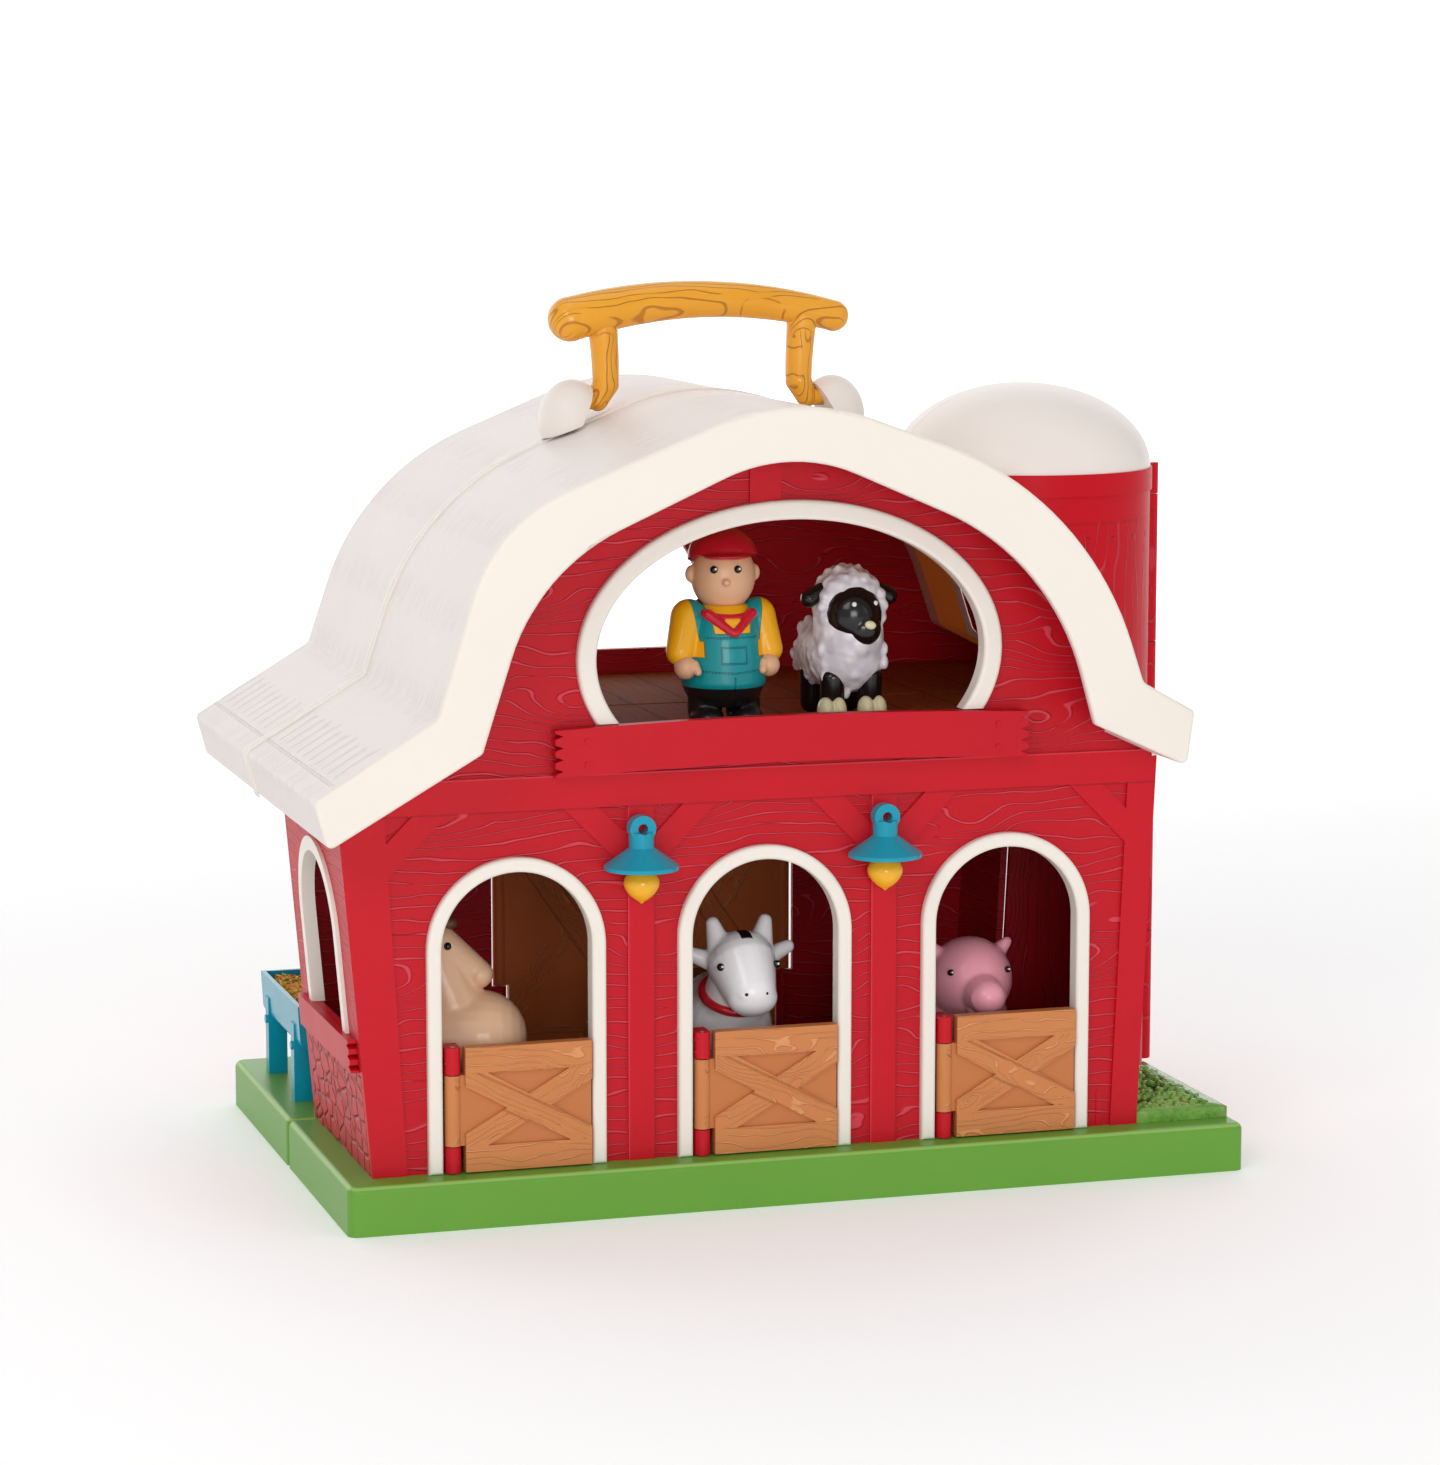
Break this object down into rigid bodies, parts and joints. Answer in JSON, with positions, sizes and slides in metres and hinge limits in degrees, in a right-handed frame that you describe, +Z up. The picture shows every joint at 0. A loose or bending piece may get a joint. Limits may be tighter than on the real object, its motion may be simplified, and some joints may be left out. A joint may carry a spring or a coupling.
{
  "type": "toy barn with opening doors",
  "caption": "Moulded plastic toy barn on a base that splits open on a side hinge, with stall doors, loft window, silo, lamps, trough, carrying handle and loose farm figures.",
  "frame": {"origin": "middle of the base's underside, on the surface that it stands on, at the upright seam between the front and back halves", "axes": "+X runs to the right seen from the front, towards the silo; +Y runs to the back; +Z is up. The stall doors and the loft window face -Y"},
  "size_m": [0.372, 0.2427, 0.3381],
  "materials": {
    "red": "crimson moulded plastic with embossed wood grain",
    "cream": "cream moulded plastic, slightly translucent",
    "green": "green moulded plastic",
    "brown": "caramel brown moulded plastic",
    "floor_brown": "brown moulded plastic",
    "amber": "amber moulded plastic",
    "teal": "teal moulded plastic",
    "hay": "printed hay colours",
    "leaf": "green moulded plastic leaves",
    "steel": "plain steel",
    "farmer_vinyl": "painted vinyl",
    "sheep_vinyl": "painted vinyl",
    "horse_vinyl": "painted vinyl",
    "cow_vinyl": "painted vinyl",
    "pig_vinyl": "painted vinyl"
  },
  "bodies": {
    "back_half": {"base_back": "green", "base_back_screws": "steel", "wall_back": "red", "roof_back": "cream", "silo_back": "red", "silo_dome_back": "cream", "loft_floor_back": "floor_brown", "handle_socket_left": "cream", "handle_socket_right": "cream", "hinge_pin": "steel", "trough": "teal", "trough_hay": "hay", "back_door_pins": "steel"},
    "front_half": {"base_front": "green", "base_front_screws": "steel", "wall_front": "red", "roof_front": "cream", "silo_front": "red", "silo_dome_front": "cream", "loft_floor_front": "floor_brown", "loft_window_frame": "cream", "loft_sill_plank": "red", "arch_frame_left": "cream", "arch_frame_middle": "cream", "arch_frame_right": "cream", "side_window_frame": "cream", "side_sill_plank": "red", "lamp_shade_left": "teal", "lamp_shade_right": "teal", "lamp_bulb_left": "amber", "lamp_bulb_right": "amber", "stall_door_pins": "steel", "bush_front": "leaf"},
    "door_left": {"door_left": "brown"},
    "door_middle": {"door_middle": "brown"},
    "door_right": {"door_right": "brown"},
    "back_door_left": {"back_door_left": "brown"},
    "back_door_right": {"back_door_right": "brown"},
    "handle": {"handle": "amber"},
    "farmer": {"farmer": "farmer_vinyl"},
    "sheep": {"sheep": "sheep_vinyl"},
    "horse": {"horse": "horse_vinyl"},
    "cow": {"cow": "cow_vinyl"},
    "pig": {"pig": "pig_vinyl"}
  },
  "joints": [
    {"name": "barn_opening", "type": "hinge", "parent": "back_half", "child": "front_half", "pos_m": [0.179, 0, 0.14], "axis": [0, 0, 1], "range_deg": [0, 180]},
    {"name": "door_left_swing", "type": "hinge", "parent": "front_half", "child": "door_left", "pos_m": [-0.1337, -0.1011, 0.0419], "axis": [0, 0, -1], "range_deg": [0, 120]},
    {"name": "door_middle_swing", "type": "hinge", "parent": "front_half", "child": "door_middle", "pos_m": [-0.0388, -0.1011, 0.0419], "axis": [0, 0, -1], "range_deg": [0, 120]},
    {"name": "door_right_swing", "type": "hinge", "parent": "front_half", "child": "door_right", "pos_m": [0.0564, -0.1011, 0.0419], "axis": [0, 0, -1], "range_deg": [0, 120]},
    {"name": "back_door_left_swing", "type": "hinge", "parent": "back_half", "child": "back_door_left", "pos_m": [-0.0664, 0.0979, 0.0715], "axis": [0, 0, 1], "range_deg": [0, 110]},
    {"name": "back_door_right_swing", "type": "hinge", "parent": "back_half", "child": "back_door_right", "pos_m": [0.0562, 0.0979, 0.0715], "axis": [0, 0, -1], "range_deg": [0, 110]},
    {"name": "handle_swing", "type": "hinge", "parent": "back_half", "child": "handle", "pos_m": [-0.008, 0, 0.2926], "axis": [1, 0, 0], "range_deg": [-64, 64]},
    {"name": "farmer_lift", "type": "slide", "parent": "front_half", "child": "farmer", "axis": [0, 0, 1], "range_m": [0, 0.025]},
    {"name": "sheep_lift", "type": "slide", "parent": "front_half", "child": "sheep", "axis": [0, 0, 1], "range_m": [0, 0.025]},
    {"name": "horse_lift", "type": "slide", "parent": "front_half", "child": "horse", "axis": [0, 0, 1], "range_m": [0, 0.025]},
    {"name": "cow_lift", "type": "slide", "parent": "front_half", "child": "cow", "axis": [0, 0, 1], "range_m": [0, 0.025]},
    {"name": "pig_lift", "type": "slide", "parent": "front_half", "child": "pig", "axis": [0, 0, 1], "range_m": [0, 0.025]}
  ]
}
